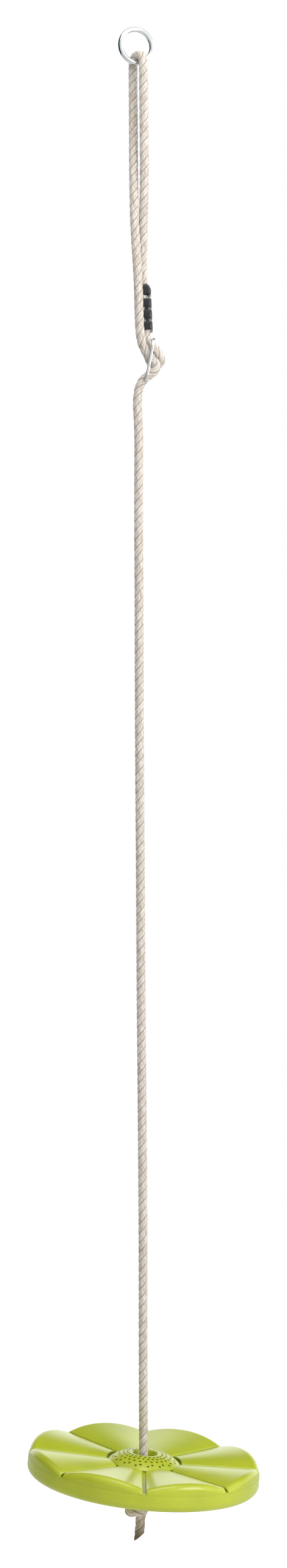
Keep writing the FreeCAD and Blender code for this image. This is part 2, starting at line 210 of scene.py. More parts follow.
def dress(item: bpy.types.Object, material: bpy.types.Material) -> None:
    """Gives an object one material, in its slots if it has any.

    Args:
        item: A new piece or a CAD node's object.
        material: Its finish.
    """
    if item.material_slots:
        for place in item.material_slots:
            place.material = material
    else:
        item.data.materials.append(material)


# ---- finishes ----
@dataclass(frozen=True)
class MouldedPolyethylene:
    """High-density polyethylene, moulded: clean colour, soft wide highlights, faint flow marks."""

    body: str = "#B9C42E"
    flow: str = "#AEBA2B"
    shade: str = "#4E5A14"
    roughness: float = 0.24
    # colour of the painted shade in the gaps, dimples and hole
    ior: float = 1.52
    flow_mm: float = 45.0
    grain_mm: float = 0.9    # finer on a real mould, drawn as coarse as it needs to show
    shade_mm: float = 7.0    # about the width of the gaps between the petals

    def material(self) -> bpy.types.Material:
        """Builds the material; narrow gaps, dimples and the hole get painted shade, a deeper green
        mixed in by ambient occlusion.

        Returns:
            The material.
        """
        material, tree, shader = new_material("moulded_polyethylene")
        place = add_node(tree, "ShaderNodeTexCoord").outputs["Object"]
        flow = add_node(tree, "ShaderNodeTexNoise", inputs={
            "Vector": place, "Scale": 1000.0 / self.flow_mm, "Detail": 3.0})
        colour = ramp(tree, flow.outputs["Fac"], [(0.3, self.flow), (0.65, self.body)])
        # painted shade: ambient occlusion within shade_mm darkens the colour toward the shade green
        # in gaps, dimples and the hole
        gap = add_node(tree, "ShaderNodeAmbientOcclusion", {"samples": 8}, {
            "Distance": self.shade_mm * MM})
        open_sky = add_node(tree, "ShaderNodeMapRange", inputs={
            "Value": gap.outputs["AO"], "From Min": 0.12, "From Max": 0.62})
        shaded = add_node(tree, "ShaderNodeMix", {"data_type": "RGBA"}, {
            "Factor": open_sky.outputs["Result"], 6: linear(self.shade), 7: colour})
        add_grain(tree, shader, self.grain_mm, 2.0, 0.05)
        tree.links.new(shaded.outputs[2], shader.inputs["Base Color"])
        shader.inputs["Roughness"].default_value = self.roughness
        shader.inputs["IOR"].default_value = self.ior
        return material


@dataclass(frozen=True)
class TwistedFibre:
    """Spun hemp-coloured rope: matt, with pale yarns, and with painted light brown shade between
    the strands and along each strand's crease.

    The free end that hangs lowest gets painted shade, growing darker from the upper to the lower of
    two given heights, both in metres.
    """

    name: str = "twisted_fibre"
    pale: str = "#EEEAE6"
    middle: str = "#DBD5CD"
    dull: str = "#B4A595"
    # colour of the painted shade between the strands
    painted_groove_shade: str = "#9E8D79"
    tail_shade_colour: str = "#5C4C35"
    unshaded_above: float = -1.790
    shaded_below: float = -1.814
    yarns: int = 6             # a real strand has more, drawn as coarse as they need to show
    yarn_lean: float = 105.0   # widths of a strand that a yarn crosses in 1 m
    streak_mm: float = 14.0

    def material(self) -> bpy.types.Material:
        """Builds the material, which reads the rope's UV map and its depth attribute.

        Returns:
            The material.
        """
        material, tree, shader = new_material(self.name)
        uv = add_node(tree, "ShaderNodeUVMap", {"uv_map": "strand"}).outputs["UV"]
        # across a strand the map runs from 0 to 1, and along the rope one unit is 1 m
        split = add_node(tree, "ShaderNodeSeparateXYZ", inputs={"Vector": uv})
        # the yarns turn against the lay, so they lie nearly in line with the rope
        across = add_node(tree, "ShaderNodeMath", {"operation": "MULTIPLY_ADD"}, {
            0: split.outputs["Y"], 1: self.yarn_lean, 2: split.outputs["X"]})
        along = add_node(tree, "ShaderNodeMath", {"operation": "MULTIPLY"}, {
            0: split.outputs["Y"], 1: 1000.0 / self.streak_mm})
        yarns = add_node(tree, "ShaderNodeMath", {"operation": "MULTIPLY"}, {
            0: across.outputs[0], 1: float(self.yarns)})
        place = add_node(tree, "ShaderNodeCombineXYZ", inputs={
            "X": yarns.outputs[0], "Y": along.outputs[0]})
        fibres = add_node(tree, "ShaderNodeTexNoise", inputs={
            "Vector": place.outputs["Vector"], "Scale": 1.6, "Detail": 4.0, "Roughness": 0.62})
        patches = add_node(tree, "ShaderNodeTexNoise", inputs={
            "Vector": place.outputs["Vector"], "Scale": 0.35, "Detail": 2.0})
        yarn = ramp(tree, fibres.outputs["Fac"], [
            (0.32, self.dull), (0.48, self.middle), (0.64, self.pale)])
        patchy = add_node(tree, "ShaderNodeMix", {"data_type": "RGBA", "blend_type": "MULTIPLY"}, {
            "Factor": 0.6, 6: yarn,
            7: ramp(tree, patches.outputs["Fac"], [(0.35, "#DDD2C6"), (0.6, "#FFFFFF")])})
        depth = add_node(tree, "ShaderNodeAttribute", {"attribute_name": "depth"}).outputs["Fac"]
        # depth is 0 at a strand's crest, where its two halves meet, and 1 where strands meet
        # painted shade: the colour darkens toward the groove colour where strands meet, and a
        # little along each strand's crease
        shade = add_node(tree, "ShaderNodeMapRange", {"interpolation_type": "SMOOTHSTEP"}, {
            "Value": depth, "From Min": 0.55, "From Max": 1.05, "To Min": 0.0, "To Max": 0.7})
        halves = add_node(tree, "ShaderNodeMapRange", inputs={
            "Value": depth, "From Min": 0.0, "From Max": 0.2, "To Min": 0.35, "To Max": 0.0})
        deepest = add_node(tree, "ShaderNodeMath", {"operation": "MAXIMUM"}, {
            0: shade.outputs["Result"], 1: halves.outputs["Result"]})
        mixed = add_node(tree, "ShaderNodeMix", {"data_type": "RGBA"}, {
            "Factor": deepest.outputs[0], 6: patchy.outputs[2], 7: linear(self.painted_groove_shade)})
        height = add_node(tree, "ShaderNodeSeparateXYZ", inputs={
            "Vector": add_node(tree, "ShaderNodeTexCoord").outputs["Object"]}).outputs["Z"]
        # painted shade: the colour darkens toward the lowest end of the hanging tail
        tail_shade_mask = add_node(tree, "ShaderNodeMapRange", inputs={
            "Value": height, "From Min": self.unshaded_above, "From Max": self.shaded_below,
            "To Max": 0.9})
        tail_shaded = add_node(tree, "ShaderNodeMix", {"data_type": "RGBA"}, {
            "Factor": tail_shade_mask.outputs["Result"], 6: mixed.outputs[2], 7: linear(self.tail_shade_colour)})
        ridge = add_node(tree, "ShaderNodeMath", {"operation": "MULTIPLY"}, {
            0: yarns.outputs[0], 1: 2.0 * math.pi})
        wave = add_node(tree, "ShaderNodeMath", {"operation": "SINE"}, {0: ridge.outputs[0]})
        relief = add_node(tree, "ShaderNodeMath", {"operation": "MULTIPLY_ADD"}, {
            0: wave.outputs[0], 1: 0.22, 2: fibres.outputs["Fac"]})
        bump = add_node(tree, "ShaderNodeBump", inputs={
            "Height": relief.outputs[0], "Strength": 0.6, "Distance": 0.0006})
        tree.links.new(tail_shaded.outputs[2], shader.inputs["Base Color"])
        tree.links.new(bump.outputs["Normal"], shader.inputs["Normal"])
        shader.inputs["Roughness"].default_value = 0.88
        shader.inputs["Sheen Weight"].default_value = 0.2
        shader.inputs["Sheen Roughness"].default_value = 0.5
        return material


@dataclass(frozen=True)
class ZincPlatedSteel:
    """Bright zinc plate on steel: mirrored on the round ring, a little hazy on stamped steel."""

    name: str
    colour: str
    roughness: float
    grain_mm: float

    def material(self) -> bpy.types.Material:
        """Builds the material.

        Returns:
            The material.
        """
        material, tree, shader = new_material(self.name)
        haze = add_grain(tree, shader, self.grain_mm, 4.0, 0.06)
        spread = add_node(tree, "ShaderNodeMapRange", inputs={
            "Value": haze, "To Min": self.roughness * 0.7, "To Max": self.roughness * 1.4})
        tree.links.new(spread.outputs["Result"], shader.inputs["Roughness"])
        shader.inputs["Base Color"].default_value = linear(self.colour)
        shader.inputs["Metallic"].default_value = 1.0
        return material


@dataclass(frozen=True)
class MouldedNylon:
    """Black moulded nylon: satin skin with a fine spark-eroded grain that greys its lit facets."""

    dark: str = "#0C0B0F"
    light: str = "#17161B"
    roughness: float = 0.40
    grain_mm: float = 0.6    # finer on a real mould, drawn as coarse as it needs to show

    def material(self) -> bpy.types.Material:
        """Builds the material.

        Returns:
            The material.
        """
        material, tree, shader = new_material("moulded_nylon")
        grain = add_grain(tree, shader, self.grain_mm, 2.0, 0.25)
        colour = ramp(tree, grain, [(0.35, self.dark), (0.7, self.light)])
        tree.links.new(colour, shader.inputs["Base Color"])
        shader.inputs["Roughness"].default_value = self.roughness
        return material


# ---- rope ----
@dataclass(frozen=True)
class Station:
    """One place along a rope: its point and two directions square to it, in millimetres."""

    point: Vector
    side: Vector
    up: Vector
    along: float


@dataclass
class TwistedRope:
    """Three strands laid right-handed round a smooth guide and pressed into each other."""

    route: list[tuple[float, float, float]]
    diameter: float = 11.2
    lay: float = 33.9              # length in which a strand goes once round
    strands: int = 3
    half_angle: float = 63.0       # a strand's flank reaches a little into its neighbour
    groove_share: float = 0.15
    crease_share: float = 0.035
    crease_angle: float = 9.0
    core_share: float = 0.05
    facets: int = 16
    guide_resolution: int = 24
    step: float = 2.0
    end_diameter: float | None = None

    def section(self) -> list[tuple[float, float, float]]:
        """Corners of one strand's section, which has a shallow crease between its two halves.

        Returns:
            Angle from the strand's crest in degrees, share of the rope's radius, and place across
            the strand from 0 to 1. The last corner lies near the rope's middle.
        """
        sector = 180.0 / self.strands
        corners = []
        for number in range(self.facets + 1):
            angle = self.half_angle * (2.0 * number / self.facets - 1.0)
            share = 1.0 - self.groove_share * abs(angle / sector) ** 3
            share -= self.crease_share * math.exp(-(angle / self.crease_angle) ** 2)
            corners.append((angle, share, 0.5 + angle / (2.0 * sector)))
        return corners + [(0.0, self.core_share, 0.5)]

    def guide(self) -> list[Vector]:
        """Follows the route with a smooth spline.

        Returns:
            Evenly spaced points of the spline, in millimetres.
        """
        curve = bpy.data.curves.new("guide", "CURVE")
        curve.dimensions = "3D"
        curve.resolution_u = self.guide_resolution
        spline = curve.splines.new("NURBS")
        spline.points.add(len(self.route) - 1)
        for place, (x, y, z) in zip(spline.points, self.route):
            place.co = (x * MM, y * MM, z * MM, 1.0)
        spline.order_u = 3
        spline.use_endpoint_u = True
        holder = bpy.data.objects.new("guide", curve)
        bpy.context.scene.collection.objects.link(holder)
        bpy.context.view_layer.update()
        evaluated = holder.evaluated_get(bpy.context.evaluated_depsgraph_get())
        line = bpy.data.meshes.new_from_object(evaluated)
        dense = [vertex.co / MM for vertex in line.vertices]
        bpy.data.objects.remove(holder)
        bpy.data.curves.remove(curve)
        bpy.data.meshes.remove(line)
        return self.evenly(dense)

    def evenly(self, dense: list[Vector]) -> list[Vector]:
        """Spaces points evenly along a line.

        Args:
            dense: Points along the line.

        Returns:
            Points a step apart, from the first to the last.
        """
        reach = [0.0]
        for before, after in zip(dense, dense[1:]):
            reach.append(reach[-1] + (after - before).length)
        count = max(2, round(reach[-1] / self.step))
        points = []
        index = 0
        for number in range(count + 1):
            wanted = reach[-1] * number / count
            while index < len(reach) - 2 and reach[index + 1] < wanted:
                index += 1
            span = max(reach[index + 1] - reach[index], 1e-9)
            points.append(dense[index].lerp(dense[index + 1], (wanted - reach[index]) / span))
        return points

    def stations(self) -> list[Station]:
        """Sets up frames along the guide that don't turn about it.

        Returns:
            One station for each point of the guide.
        """
        points = self.guide()
        first = (points[1] - points[0]).normalized()
        side = first.orthogonal().normalized()
        found = []
        along = 0.0
        before = first
        for index, point in enumerate(points):
            ahead = points[min(index + 1, len(points) - 1)] - points[max(index - 1, 0)]
            ahead.normalize()
            side = before.rotation_difference(ahead) @ side
            side = (side - ahead * side.dot(ahead)).normalized()
            if index:
                along += (point - points[index - 1]).length
            found.append(Station(point, side, ahead.cross(side), along))
            before = ahead
        return found

    def build(self, name: str) -> tuple[bpy.types.Object, list[Vector], float]:
        """Makes the strands as one mesh.

        Args:
            name: Name of the piece.

        Returns:
            The object, the points that it follows in metres, and its length in metres.
        """
        stations = self.stations()
        section = self.section()
        around = len(section)
        total = stations[-1].along
        corners, faces, marks = [], [], []
        for strand in range(self.strands):
            base = len(corners)
            for station in stations:
                radius = self.diameter / 2.0
                if self.end_diameter:
                    grown = (station.along / total) ** 2
                    radius += (self.end_diameter - self.diameter) / 2.0 * grown
                crest = 360.0 * (station.along / self.lay + strand / self.strands)
                for angle, share, place in section:
                    turn = math.radians(crest + angle)
                    away = station.side * math.cos(turn) + station.up * math.sin(turn)
                    corners.append((station.point + away * (radius * share)) * MM)
                    marks.append((place, station.along * MM))
            for row in range(len(stations) - 1):
                for column in range(around):
                    here = base + row * around + column
                    beside = base + row * around + (column + 1) % around
                    faces.append((here, beside, beside + around, here + around))
            last = base + (len(stations) - 1) * around
            faces.append(tuple(base + column for column in reversed(range(around))))
            faces.append(tuple(last + column for column in range(around)))
        item = self.mesh_object(name, corners, faces)
        self.write_maps(item, marks)
        return item, [station.point * MM for station in stations], total * MM

    def mesh_object(self, name: str, corners: list[Vector], faces: list[tuple]) -> bpy.types.Object:
        """Links a mesh object to the scene, smooth but for its ends.

        Args:
            name: Name of the piece.
            corners: Its points, in metres.
            faces: The points of each face.

        Returns:
            The object.
        """
        mesh = bpy.data.meshes.new(name)
        mesh.from_pydata(corners, [], faces)
        mesh.validate()
        for polygon in mesh.polygons:
            polygon.use_smooth = len(polygon.vertices) == 4
        item = bpy.data.objects.new(name, mesh)
        bpy.context.scene.collection.objects.link(item)
        return item

    def write_maps(self, item: bpy.types.Object, marks: list[tuple[float, float]]) -> None:
        """Stores the depth between the strands and the map along each strand.

        Args:
            item: Rope object.
            marks: Place across the strand, from 0 to 1, and length along the rope of each vertex.
        """
        mesh = item.data
        attribute = mesh.attributes.new("depth", "FLOAT", "POINT")
        attribute.data.foreach_set("value", [abs(2.0 * place - 1.0) for place, _ in marks])
        layer = mesh.uv_layers.new(name="strand")
        for loop in mesh.loops:
            layer.data[loop.index].uv = marks[loop.vertex_index]


@dataclass
class RopeClamp:
    """Moulded clamp: a neck and four rounded collars round two runs of the rope, joined by webs.

    In its own frame the near run is the z axis and 0 is the neck's end.
    """

    material: bpy.types.Material
    top: tuple[float, float, float] = (6.7, 6.4, -303.7)
    lean: float = 2.4
    rope_radius: float = 5.5
    pitch: float = 11.3            # from the near run to the far one
    channel: float = 5.9           # radius of the way for each run
    channel_sides: int = 48
    overrun: float = 4.0
    half_width: float = 9.8
    wall: float = 2.3
    rounding: float = 3.6
    edge: float = 1.0
    edge_angle: float = 50.0
    smooth_angle: float = 38.0
    neck_half_width: float = 6.6
    neck_rise: float = 4.0
    neck_taper: float = 6.9
    collars: int = 4
    collar_height: float = 9.9
    collar_step: float = 13.9
    side_web: tuple = ((-9.0, 3.0), (-6.6, 8.6))
    front_web: tuple = ((2.5, -6.9), (6.0, -3.5))
    web_lap: float = 2.0
    web_rounding: float = 0.6

    def faces(self) -> tuple[float, float]:
        """Y of the front and the rear face."""
        reach = self.rope_radius + self.wall
        return -reach, self.pitch + reach

    def collar_top(self, index: int) -> float:
        """Height of a collar's upper face."""
        return -self.neck_rise - index * self.collar_step

    def collar_foot(self, index: int) -> float:
        """Height of a collar's lower face."""
        return self.collar_top(index) - self.collar_height

    def block(self, low: tuple, high: tuple, rounding: float) -> bpy.types.Object:
        """Adds a box whose upright edges are rounded and whose level edges are eased.

        Args:
            low: Its lowest corner in the clamp's frame, in millimetres.
            high: Its highest corner.
            rounding: Radius of the upright edges.

        Returns:
            The box.
        """
        deselect_all()
        middle = (Vector(low) + Vector(high)) / 2.0
        bpy.ops.mesh.primitive_cube_add(size=1.0, location=middle * MM)
        box = bpy.context.active_object
        box.scale = (Vector(high) - Vector(low)) * MM
        bpy.ops.object.transform_apply(location=True, rotation=False, scale=True)
        self.round_upright(box, rounding)
        return box

    def round_upright(self, box: bpy.types.Object, rounding: float) -> None:
        """Rounds the upright edges with a bevel in edit mode, then eases the rest.

        Args:
            box: Selected box in the clamp's frame.
            rounding: Radius of the upright edges, in millimetres.
        """
        bpy.ops.object.mode_set(mode="EDIT")
        bpy.ops.mesh.select_all(action="DESELECT")
        bpy.ops.object.mode_set(mode="OBJECT")
        vertices = box.data.vertices
        for line in box.data.edges:
            ends = [vertices[index].co for index in line.vertices]
            line.select = abs(ends[0].z - ends[1].z) > self.edge * MM
        bpy.ops.object.mode_set(mode="EDIT")
        bpy.ops.mesh.select_mode(type="EDGE")
        bpy.ops.mesh.bevel(offset=rounding * MM, segments=6, affect="EDGES")
        bpy.ops.object.mode_set(mode="OBJECT")
        ease = box.modifiers.new("eased_edges", "BEVEL")
        ease.width = self.edge * MM
        ease.segments = 3
        ease.limit_method = "ANGLE"
        ease.angle_limit = math.radians(self.edge_angle)
        bpy.ops.object.modifier_apply(modifier=ease.name)

    def collar(self, index: int, top: float) -> bpy.types.Object:
        """Adds one collar's block.

        Args:
            index: Number of the collar, from 0 at the neck.
            top: Height that the block reaches up to.

        Returns:
            The block.
        """
        front, rear = self.faces()
        low = (-self.half_width, front, self.collar_foot(index))
        return self.block(low, (self.half_width, rear, top), self.rounding)

    def add_row(self, collar: bpy.types.Object) -> None:
        """Divides the first collar at the foot of the neck's taper.

        Args:
            collar: First collar, which reaches up to the neck's end.
        """
        select_only(collar)
        bpy.ops.object.mode_set(mode="EDIT")
        bpy.ops.mesh.select_all(action="SELECT")
        foot = (0.0, 0.0, -self.neck_taper * MM)
        bpy.ops.mesh.bisect(plane_co=foot, plane_no=(0.0, 0.0, 1.0))
        bpy.ops.object.mode_set(mode="OBJECT")

    def narrow_neck(self, collar: bpy.types.Object) -> None:
        """Draws the first collar's top in to the neck, over its taper.

        Args:
            collar: First collar, which reaches up to the neck's end.
        """
        front, rear = self.faces()
        for vertex in collar.data.vertices:
            height = vertex.co.z / MM
            share = min(1.0, max(0.0, (height + self.neck_taper) / self.neck_taper))
            across = 1.0 - share * (1.0 - self.neck_half_width / self.half_width)
            vertex.co.x *= across
            depth = (vertex.co.y / MM - front) / (rear - front)
            vertex.co.y -= depth * share * self.pitch * MM

    def add_webs(self, body: bpy.types.Object) -> None:
        """Joins the collars by a long web at the side and a shorter one in front.

        Args:
            body: Neck and collars.
        """
        low = self.collar_foot(self.collars - 1) + self.web_lap
        for first, ((left, near), (right, far)) in enumerate((self.side_web, self.front_web)):
            high = self.collar_foot(first) + self.web_lap
            web = self.block((left, near, low), (right, far, high), self.web_rounding)
            carve(body, web, Carving.ADD)

    def cut_channels(self, body: bpy.types.Object) -> None:
        """Cuts the near run's channel right through and the far run's up into the first collar.

        Args:
            body: Neck, collars and webs.
        """
        low = self.collar_foot(self.collars - 1) - self.overrun
        inside = self.collar_top(0) - self.collar_height / 2.0
        for depth, high in ((0.0, self.overrun), (self.pitch, inside)):
            deselect_all()
            bpy.ops.mesh.primitive_cylinder_add(
                vertices=self.channel_sides, radius=self.channel * MM, depth=(high - low) * MM,
                location=(0.0, depth * MM, (high + low) / 2.0 * MM))
            carve(body, bpy.context.active_object, Carving.TAKE)

    def build(self) -> None:
        """Models the clamp and puts it on the rope."""
        body = self.collar(0, 0.0)
        self.add_row(body)
        self.narrow_neck(body)
        for index in range(1, self.collars):
            carve(body, self.collar(index, self.collar_top(index)), Carving.ADD)
        self.add_webs(body)
        self.cut_channels(body)
        body.name = "collared_clamp"
        lean = Matrix.Rotation(-math.radians(self.lean), 4, "Y")
        body.data.transform(Matrix.Translation(Vector(self.top) * MM) @ lean)
        select_only(body)
        bpy.ops.object.shade_smooth_by_angle(angle=math.radians(self.smooth_angle))
        dress(body, self.material)
        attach(body, Body.ROPE.value)
        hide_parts("rope_clamp")
        LOG.info("collared_clamp")


@dataclass
class Suspension:
    """Ring, clamp and plate with the one rope that runs through them.

    From its end in the clamp the rope goes down behind to the plate's eye, round it and up through
    the clamp, over the ring, down to the plate again, through its holes and straight to the seat.
    """

    rope_material: bpy.types.Material
    ring_wire: float = 6.0
    ring_inner: float = 34.0
    ring_turn: float = 20.0
    bight_gap: float = 1.3
    bight_turn: float = 40.0
    bight_aside: float = 2.7
    bight_leg: float = 22.0
    rope: float = 11.0
    line_x: float = 2.4
    knot_top: float = -1746.7
    behind: tuple = ((7.66, 17.63, -312.7), (10.03, 17.63, -369.4))
    eye: tuple = (
        (11.4, 18.0, -379.0), (13.0, 18.6, -390.0), (18.0, 17.2, -398.8), (25.0, 12.6, -400.6),
        (29.2, 6.6, -395.2), (26.0, 1.8, -387.4), (18.8, 1.1, -379.9),
    )
    before: tuple = ((9.46, 6.4, -369.4), (6.28, 6.4, -293.7))
    right_leg: tuple = ((7.9, 2.6, -232.0), (9.6, -2.6, -172.0), (9.2, -5.4, -105.0))
    left_leg: tuple = (
        (-3.6, 6.6, -105.0), (-3.7, 2.6, -172.0), (-2.6, -2.8, -236.0), (1.6, -7.4, -300.0),
        (2.2, -7.7, -344.0),
    )
    weave: tuple = (
        (3.8, -6.7, -371.5), (9.6, -3.0, -386.4), (17.4, -1.4, -395.4), (22.6, -1.2, -400.6),
        (22.6, -1.0, -407.4), (17.8, -0.6, -412.6), (9.6, -0.2, -417.0), (2.0, 0.0, -427.0),
        (-0.6, 0.4, -447.0), (1.7, 0.4, -480.0),
    )
    line: tuple = (
        (0.8, 0.2, -560.0), (1.0, 0.0, -700.0), (0.7, 0.0, -850.0), (1.3, 0.0, -1000.0),
        (1.5, 0.0, -1150.0), (2.3, 0.0, -1300.0), (2.9, 0.0, -1450.0), (2.2, 0.0, -1600.0),
    )

    def bight(self) -> list[tuple[float, float, float]]:
        """Sets half an octagon round the ring's wire, with a straight leg at each end.

        Returns:
            Its corners and the legs' ends, in millimetres.
        """
        ring = (self.ring_inner + self.ring_wire) / 2.0
        turn = math.radians(self.ring_turn)
        drop = math.sqrt(ring ** 2 - self.bight_aside ** 2)
        contact = Vector((math.cos(turn), math.sin(turn), 0.0)) * self.bight_aside
        contact.z = -self.ring_inner / 2.0 - drop
        across = math.radians(self.bight_turn)
        outwards = Vector((math.sin(across), -math.cos(across), 0.0))
        upwards = Vector((0.0, 0.0, 1.0))
        reach = self.ring_wire / 2.0 + self.bight_gap + self.rope / 2.0
        eighth = 360.0 / 8
        corner = reach / math.cos(math.radians(eighth / 2.0))
        points = [contact + outwards * reach - upwards * self.bight_leg]
        for step in range(4):
            angle = math.radians(eighth * (step + 0.5))
            aside = outwards * corner * math.cos(angle)
            points.append(contact + aside + upwards * corner * math.sin(angle))
        points.append(contact - outwards * reach - upwards * self.bight_leg)
        return [tuple(point) for point in points]

    def route(self) -> list[tuple[float, float, float]]:
        """Strings the whole rope together, from its end in the clamp to the knot.

        Returns:
            Points in millimetres.
        """
        upper = [*self.behind, *self.eye, *self.before, *self.right_leg, *self.bight()]
        lower = [*self.left_leg, *self.weave, *self.line, (self.line_x, 0.0, self.knot_top)]
        return upper + lower

    def build(self, knot: bpy.types.Object) -> None:
        """Makes the rope and dresses the metal and plastic on it.

        Args:
            knot: Knot that the rope ends in; not used.
        """
        maker = TwistedRope(self.route())
        rope, path, length = maker.build("twisted_rope")
        dress(rope, self.rope_material)
        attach(rope, Body.ROPE.value)
        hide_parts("rope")
        LOG.info("twisted_rope %.3f m", length)
        ring = ZincPlatedSteel("bright_zinc", "#DDE1E3", 0.10, 6.0).material()
        plate = ZincPlatedSteel("stamped_zinc", "#D6D7D6", 0.30, 2.5).material()
        dress(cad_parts["hanging_ring"], ring)
        dress(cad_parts["adjuster_plate"], plate)
        RopeClamp(MouldedNylon().material()).build()
        LOG.info("ring and plate dressed")


@dataclass
class StopperKnot:
    """Knot under the seat and the free end below it, with its points from the knot's centre."""

    material: bpy.types.Material
    centre: tuple[float, float, float] = (2.4, 0.0, -1763.08)
    entry: tuple = ((0.0, 0.0, 16.0), (1.0, -0.6, 10.6))
    upper_radius: float = 8.2
    upper_height: float = 9.0
    upper_fall: float = 22.4
    upper_turns: int = 2
    lower_radius: float = 9.4
    lower_offset: float = -8.2
    lower_height: float = -21.1
    lower_tilt: float = 9.0
    points_per_turn: int = 12
    step: float = 1.6
    tail: tuple = (
        (-4.2, -1.6, -28.7), (-4.4, -1.0, -37.2), (-5.4, -0.4, -49.2), (-6.4, 0.0, -61.2),
    )
    tail_tip: tuple[float, float, float] = (-12.2, 0.0, -58.3)
    tail_cut: float = 38.0
    tail_diameter: float = 12.0

    def route(self) -> list[tuple[float, float, float]]:
        """Goes down into the knot, round its barrel and its lower turn and out along the tail.

        Returns:
            Points in millimetres.
        """
        local = list(self.entry)
        steps = self.upper_turns * self.points_per_turn
        for number in range(1, steps):
            share = number / steps
            angle = 2.0 * math.pi * self.upper_turns * share
            local.append((self.upper_radius * math.cos(angle), self.upper_radius * math.sin(angle),
                          self.upper_height - self.upper_fall * share))
        rise = math.tan(math.radians(self.lower_tilt))
        for number in range(self.points_per_turn):
            angle = 2.0 * math.pi * number / self.points_per_turn
            away = self.lower_radius * math.cos(angle)
            local.append((self.lower_offset + away, self.lower_radius * math.sin(angle),
                          self.lower_height + away * rise))
        local.extend(self.tail)
        return [tuple(a + b for a, b in zip(self.centre, point)) for point in local]

    def build(self) -> bpy.types.Object:
        """Makes the knot and cuts its tail at a slant.

        Returns:
            The knot.
        """
        maker = TwistedRope(self.route(), end_diameter=self.tail_diameter, step=self.step)
        knot, _, length = maker.build("stopper_knot_rope")
        shape = bmesh.new()
        shape.from_mesh(knot.data)
        tip = (Vector(self.centre) + Vector(self.tail_tip)) * MM
        slant = math.radians(self.tail_cut)
        normal = Vector((math.sin(slant), 0.0, -math.cos(slant)))
        everything = shape.verts[:] + shape.edges[:] + shape.faces[:]
        cut = bmesh.ops.bisect_plane(
            shape, geom=everything, plane_co=tip, plane_no=normal, clear_outer=True)
        rim = [part for part in cut["geom_cut"] if isinstance(part, bmesh.types.BMEdge)]
        bmesh.ops.edgeloop_fill(shape, edges=rim)
        shape.to_mesh(knot.data)
        shape.free()
        dress(knot, self.material)
        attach(knot, Body.KNOT.value)
        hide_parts("stopper_knot", "rope_tail")
        LOG.info("stopper_knot_rope %.3f m", length)
        return knot


